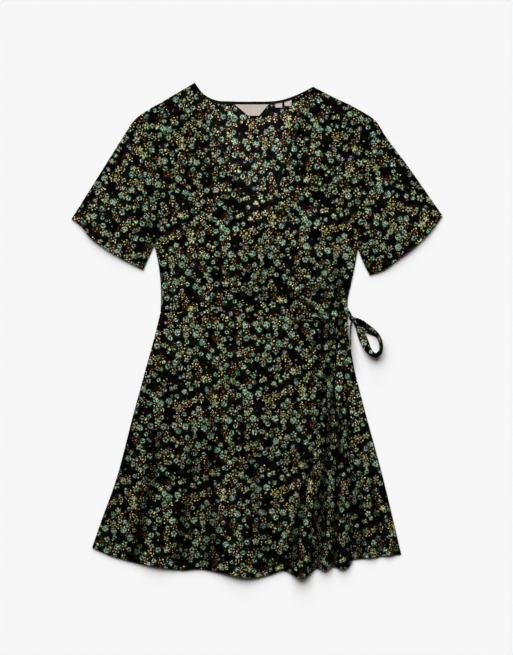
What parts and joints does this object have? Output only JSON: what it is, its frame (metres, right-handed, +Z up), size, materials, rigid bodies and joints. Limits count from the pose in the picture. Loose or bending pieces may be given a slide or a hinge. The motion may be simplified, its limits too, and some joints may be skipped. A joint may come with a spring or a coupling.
{
  "type": "wrap dress",
  "caption": "Short-sleeved mini wrap dress with a V neck, crossed fronts, a flared skirt and a side tie, laid flat on its back; black cloth with a small flower print",
  "frame": {"origin": "On the surface that the dress lies on, under the middle of the dress's outline box", "axes": "+Y from the hem to the neck, +X from the left cuff to the right one as seen from above, +Z up from the surface"},
  "size_m": [0.662, 0.8839, 0.0201],
  "materials": {
    "printed_cloth": "matt lightweight viscose, black with small green, sage, mustard and rust flowers",
    "plain_binding": "matt black bias binding",
    "label_tape": "soft cream woven tape, bare"
  },
  "bodies": {
    "root": {"back_bodice": "printed_cloth", "back_skirt": "printed_cloth", "under_bodice": "printed_cloth", "under_skirt": "printed_cloth", "over_bodice": "printed_cloth", "over_skirt": "printed_cloth", "sleeve_left": "printed_cloth", "sleeve_right": "printed_cloth", "neck_binding": "plain_binding", "neck_label": "label_tape", "size_tab": "label_tape", "care_tab": "label_tape", "tie_knot": "printed_cloth", "tie_loop": "printed_cloth", "tie_end_long": "printed_cloth", "tie_end_short": "printed_cloth"}
  },
  "joints": []
}
